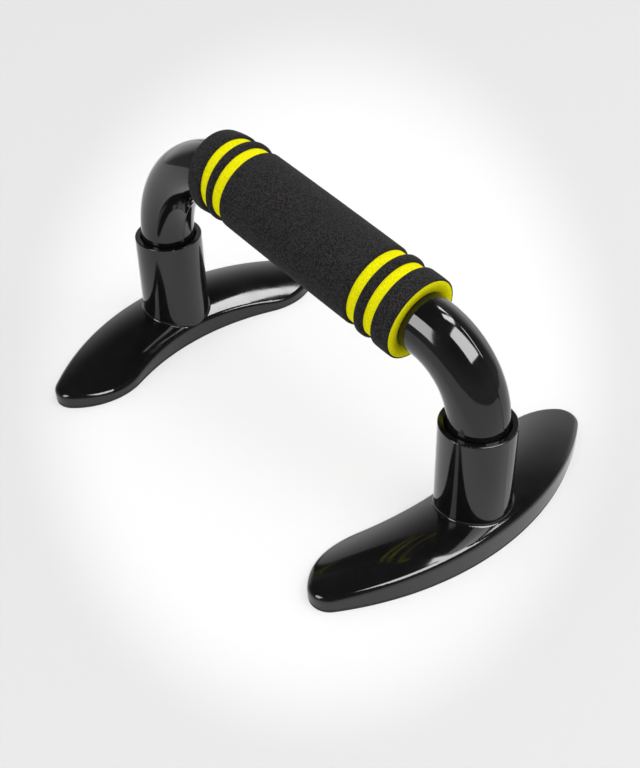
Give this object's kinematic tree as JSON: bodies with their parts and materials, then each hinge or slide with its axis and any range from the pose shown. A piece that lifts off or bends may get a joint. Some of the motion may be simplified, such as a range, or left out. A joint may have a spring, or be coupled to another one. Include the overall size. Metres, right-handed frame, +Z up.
{
  "type": "push-up bar",
  "caption": "Low push-up bar: a bent black handle with a sloping ribbed foam grip, plugged into crescent feet with round socket posts.",
  "frame": {"origin": "on the floor, midway between the two legs and under the middle of the handle's plane", "axes": "+X along the handle towards the low, tight bend; +Y across the handle along the feet; +Z up"},
  "size_m": [0.2362, 0.1586, 0.1243],
  "materials": {
    "gloss_black": "gloss black moulded plastic",
    "yellow_foam": "fine matte foam, bright yellow",
    "black_foam": "fine-grained matte foam, black",
    "sole_rubber": "matte black rubber"
  },
  "bodies": {
    "handle": {"handle_front_shell": "gloss_black", "handle_rear_shell": "gloss_black", "inner_foam_sleeve": "yellow_foam", "main_grip_band": "black_foam", "left_thin_ring": "black_foam", "right_thin_ring": "black_foam", "left_end_ring": "black_foam", "right_end_ring": "black_foam"},
    "left_foot": {"left_foot_shell": "gloss_black", "left_sole": "sole_rubber"},
    "right_foot": {"right_foot_shell": "gloss_black", "right_sole": "sole_rubber"}
  },
  "joints": [
    {"name": "left_foot_pull", "type": "slide", "parent": "handle", "child": "left_foot", "axis": [0, 0, 1], "range_m": [-0.036, 0]},
    {"name": "right_foot_pull", "type": "slide", "parent": "handle", "child": "right_foot", "axis": [0, 0, 1], "range_m": [-0.036, 0]}
  ]
}
